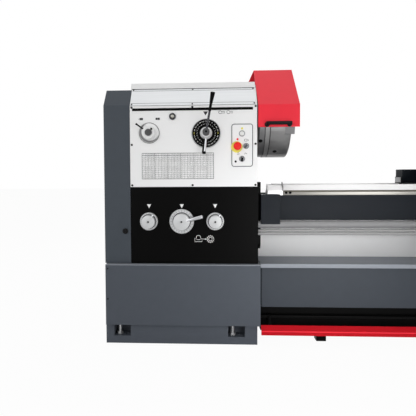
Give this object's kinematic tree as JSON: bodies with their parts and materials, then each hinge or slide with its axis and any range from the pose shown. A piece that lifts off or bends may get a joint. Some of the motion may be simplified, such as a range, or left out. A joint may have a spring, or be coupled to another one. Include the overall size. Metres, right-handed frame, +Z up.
{
  "type": "manual lathe",
  "caption": "Floor-standing manual gap-bed lathe with headstock, hooded three-jaw chuck, carriage, tailstock, foot brake and full-length chip tray.",
  "frame": {"origin": "centre of the overall bounding box on the floor", "axes": "+X along the bed from headstock to tailstock, +Y from the operator's side to the rear, +Z up"},
  "size_m": [2.889, 0.895, 1.415],
  "materials": {
    "bed_paint": "satin dark blue-grey machine enamel",
    "cabinet_paint": "satin blue-grey machine enamel",
    "cover_paint": "satin dark grey enamel",
    "tray_paint": "light blue-grey enamel",
    "pale_paint": "pale grey enamel",
    "white_enamel": "smooth white enamel",
    "black_enamel": "gloss black enamel",
    "red_enamel": "semi-gloss red enamel",
    "silver_sheet": "brushed sheet",
    "ground_steel": "ground",
    "chuck_iron": "turned and ground",
    "dark_iron": "turned",
    "chrome": "polished",
    "black_plastic": "moulded",
    "grey_plastic": "moulded",
    "white_plastic": "moulded",
    "red_plastic": "moulded",
    "belt_rubber": "moulded"
  },
  "bodies": {
    "frame": {"bed": "bed_paint", "gap_bridge": "ground_steel", "left_pedestal": "cabinet_paint", "right_pedestal": "cabinet_paint", "chip_tray": "tray_paint", "chip_wall": "pale_paint", "front_skirt": "cabinet_paint", "coolant_tank": "black_enamel", "headstock_housing": "white_enamel", "headstock_cover": "pale_paint", "front_plate": "white_enamel", "sloping_strip": "silver_sheet", "feed_box": "black_enamel", "motor": "dark_iron", "drive_belts": "belt_rubber", "switch_panel": "white_enamel", "dial_plate": "black_plastic", "spindle_bearings": "ground_steel", "coupling_cover": "bed_paint", "levelling_feet": "ground_steel", "screws": "black_enamel", "electrical_cabinet": "cabinet_paint"},
    "spindle": {"spindle": "ground_steel", "chuck_backplate": "dark_iron", "chuck_body": "chuck_iron"},
    "jaw_1": {"chuck_jaw_1": "ground_steel"},
    "jaw_2": {"chuck_jaw_2": "ground_steel"},
    "jaw_3": {"chuck_jaw_3": "ground_steel"},
    "stud_gear": {"stud_gear": "ground_steel"},
    "feed_gear": {"feed_gear": "ground_steel"},
    "input_pulley": {"input_pulley": "dark_iron"},
    "guard": {"chuck_guard": "red_enamel", "guard_handle": "black_plastic"},
    "end_cover": {"end_cover": "cover_paint"},
    "cover_latch": {"cover_latch": "black_plastic"},
    "speed_lever": {"speed_lever": "black_plastic"},
    "range_lever": {"range_lever": "chrome"},
    "reverse_lever": {"reverse_lever": "chrome"},
    "feed_knob_left": {"feed_knob_left": "chrome"},
    "feed_knob_middle": {"feed_knob_middle": "chrome"},
    "feed_knob_right": {"feed_knob_right": "chrome"},
    "start_button": {"start_button": "white_plastic"},
    "stop_button": {"stop_button": "red_plastic"},
    "side_selector": {"side_selector": "grey_plastic"},
    "lower_selector": {"lower_selector": "black_plastic"},
    "lead_screw": {"lead_screw": "ground_steel"},
    "feed_rod": {"feed_rod": "ground_steel"},
    "control_rod": {"control_rod": "black_enamel"},
    "brake_pedal": {"brake_pedal": "red_enamel"},
    "carriage": {"saddle": "bed_paint", "apron": "cabinet_paint"},
    "apron_handwheel": {"apron_handwheel": "chrome"},
    "cross_slide": {"cross_slide": "chuck_iron"},
    "cross_handle": {"cross_handle": "chrome"},
    "top_slide": {"top_slide": "chuck_iron"},
    "top_handle": {"top_handle": "chrome"},
    "tool_post": {"tool_post": "ground_steel"},
    "tailstock": {"tailstock": "bed_paint"},
    "quill": {"quill": "ground_steel"},
    "tail_handwheel": {"tail_handwheel": "chrome"}
  },
  "joints": [
    {"name": "spindle_turn", "type": "hinge", "parent": "frame", "child": "spindle", "pos_m": [-0.9305, -0.0125, 1.148], "axis": [1, 0, 0], "continuous": true},
    {"name": "jaw_1_slide", "type": "slide", "parent": "spindle", "child": "jaw_1", "axis": [0, -0.9397, -0.342], "range_m": [-0.03, 0]},
    {"name": "jaw_2_slide", "type": "slide", "parent": "spindle", "child": "jaw_2", "axis": [0, 0.766, -0.6428], "range_m": [-0.03, 0]},
    {"name": "jaw_3_slide", "type": "slide", "parent": "spindle", "child": "jaw_3", "axis": [0, 0.1736, 0.9848], "range_m": [-0.03, 0]},
    {"name": "stud_turn", "type": "hinge", "parent": "frame", "child": "stud_gear", "pos_m": [-0.9305, -0.0125, 0.918], "axis": [1, 0, 0], "continuous": true},
    {"name": "feed_gear_turn", "type": "hinge", "parent": "frame", "child": "feed_gear", "pos_m": [-0.9305, -0.1125, 0.6672], "axis": [1, 0, 0], "continuous": true},
    {"name": "input_turn", "type": "hinge", "parent": "frame", "child": "input_pulley", "pos_m": [-0.9305, 0.1575, 1.01], "axis": [1, 0, 0], "continuous": true},
    {"name": "guard_lift", "type": "hinge", "parent": "frame", "child": "guard", "pos_m": [-0.6305, 0.2475, 1.262], "axis": [-1, 0, 0], "range_deg": [0, 80]},
    {"name": "end_cover_swing", "type": "hinge", "parent": "frame", "child": "end_cover", "pos_m": [-1.3115, 0.3135, 0.8], "axis": [0, 0, -1], "range_deg": [0, 100]},
    {"name": "latch_turn", "type": "hinge", "parent": "end_cover", "child": "cover_latch", "pos_m": [-1.3395, -0.2525, 0.572], "axis": [0, -1, 0], "range_deg": [0, 90]},
    {"name": "speed_turn", "type": "hinge", "parent": "frame", "child": "speed_lever", "pos_m": [-0.9305, -0.2525, 1.059], "axis": [0, -1, 0], "continuous": true},
    {"name": "range_turn", "type": "hinge", "parent": "frame", "child": "range_lever", "pos_m": [-0.9305, -0.2525, 1.059], "axis": [0, -1, 0], "range_deg": [-45, 45]},
    {"name": "reverse_turn", "type": "hinge", "parent": "frame", "child": "reverse_lever", "pos_m": [-1.2145, -0.2525, 1.064], "axis": [0, -1, 0], "range_deg": [-110, 0]},
    {"name": "feed_knob_left_turn", "type": "hinge", "parent": "frame", "child": "feed_knob_left", "pos_m": [-1.2185, -0.2525, 0.622], "axis": [0, -1, 0], "range_deg": [-90, 90]},
    {"name": "feed_knob_middle_turn", "type": "hinge", "parent": "frame", "child": "feed_knob_middle", "pos_m": [-1.0535, -0.2525, 0.622], "axis": [0, -1, 0], "range_deg": [-60, 60]},
    {"name": "feed_knob_right_turn", "type": "hinge", "parent": "frame", "child": "feed_knob_right", "pos_m": [-0.8865, -0.2525, 0.622], "axis": [0, -1, 0], "range_deg": [-90, 90]},
    {"name": "start_push", "type": "slide", "parent": "frame", "child": "start_button", "axis": [0, 1, 0], "range_m": [0, 0.004], "stiffness_N_per_m": 600, "springref_m": -0.002},
    {"name": "stop_push", "type": "slide", "parent": "frame", "child": "stop_button", "axis": [0, 1, 0], "range_m": [0, 0.005]},
    {"name": "side_select", "type": "hinge", "parent": "frame", "child": "side_selector", "pos_m": [-0.7335, -0.2525, 0.995], "axis": [0, -1, 0], "range_deg": [-45, 45]},
    {"name": "lower_select", "type": "hinge", "parent": "frame", "child": "lower_selector", "pos_m": [-0.7535, -0.2525, 0.932], "axis": [0, -1, 0], "range_deg": [-45, 45]},
    {"name": "lead_turn", "type": "hinge", "parent": "frame", "child": "lead_screw", "pos_m": [-0.6305, -0.2245, 0.603], "axis": [1, 0, 0], "continuous": true},
    {"name": "feed_rod_turn", "type": "hinge", "parent": "frame", "child": "feed_rod", "pos_m": [-0.6305, -0.2245, 0.557], "axis": [1, 0, 0], "continuous": true},
    {"name": "control_turn", "type": "hinge", "parent": "frame", "child": "control_rod", "pos_m": [-0.6305, -0.2245, 0.5725], "axis": [1, 0, 0], "range_deg": [-15, 15]},
    {"name": "brake_press", "type": "hinge", "parent": "frame", "child": "brake_pedal", "pos_m": [-0.6305, -0.2375, 0.14], "axis": [1, 0, 0], "range_deg": [0, 8], "stiffness_Nm_per_rad": 60, "springref_deg": -6.88},
    {"name": "carriage_slide", "type": "slide", "parent": "frame", "child": "carriage", "axis": [1, 0, 0], "range_m": [-0.66, 0.12]},
    {"name": "apron_wheel_turn", "type": "hinge", "parent": "carriage", "child": "apron_handwheel", "pos_m": [0.2995, -0.3235, 0.7], "axis": [0, 1, 0], "continuous": true},
    {"name": "cross_slide_slide", "type": "slide", "parent": "carriage", "child": "cross_slide", "axis": [0, 1, 0], "range_m": [-0.04, 0.15]},
    {"name": "cross_handle_turn", "type": "hinge", "parent": "carriage", "child": "cross_handle", "pos_m": [0.3995, -0.3135, 0.838], "axis": [0, 1, 0], "range_deg": [-2880, 10800]},
    {"name": "top_slide_slide", "type": "slide", "parent": "cross_slide", "child": "top_slide", "axis": [-1, 0, 0], "range_m": [-0.04, 0.06]},
    {"name": "top_handle_turn", "type": "hinge", "parent": "top_slide", "child": "top_handle", "pos_m": [0.5905, -0.1925, 1.02], "axis": [-1, 0, 0], "range_deg": [-3600, 5400]},
    {"name": "tool_post_turn", "type": "hinge", "parent": "top_slide", "child": "tool_post", "pos_m": [0.3995, -0.1925, 1.1], "axis": [0, 0, 1], "continuous": true},
    {"name": "tailstock_slide", "type": "slide", "parent": "frame", "child": "tailstock", "axis": [1, 0, 0], "range_m": [-0.25, 0.02]},
    {"name": "quill_slide", "type": "slide", "parent": "tailstock", "child": "quill", "axis": [-1, 0, 0], "range_m": [0, 0.15]},
    {"name": "tail_wheel_turn", "type": "hinge", "parent": "tailstock", "child": "tail_handwheel", "pos_m": [1.2505, -0.0125, 1.148], "axis": [-1, 0, 0], "range_deg": [0, 10800]}
  ],
  "couplings": [
    {"joint": "jaw_2_slide", "follows": "jaw_1_slide", "ratio": 1},
    {"joint": "jaw_3_slide", "follows": "jaw_1_slide", "ratio": 1},
    {"joint": "stud_turn", "follows": "spindle_turn", "ratio": -0.53333},
    {"joint": "feed_gear_turn", "follows": "spindle_turn", "ratio": 0.66667},
    {"joint": "input_turn", "follows": "spindle_turn", "ratio": 2},
    {"joint": "apron_wheel_turn", "follows": "carriage_slide", "rad_per_m": 40},
    {"joint": "cross_handle_turn", "follows": "cross_slide_slide", "rad_per_m": 1256.6},
    {"joint": "top_handle_turn", "follows": "top_slide_slide", "rad_per_m": 1570.8},
    {"joint": "tail_wheel_turn", "follows": "quill_slide", "rad_per_m": 1256.6}
  ]
}
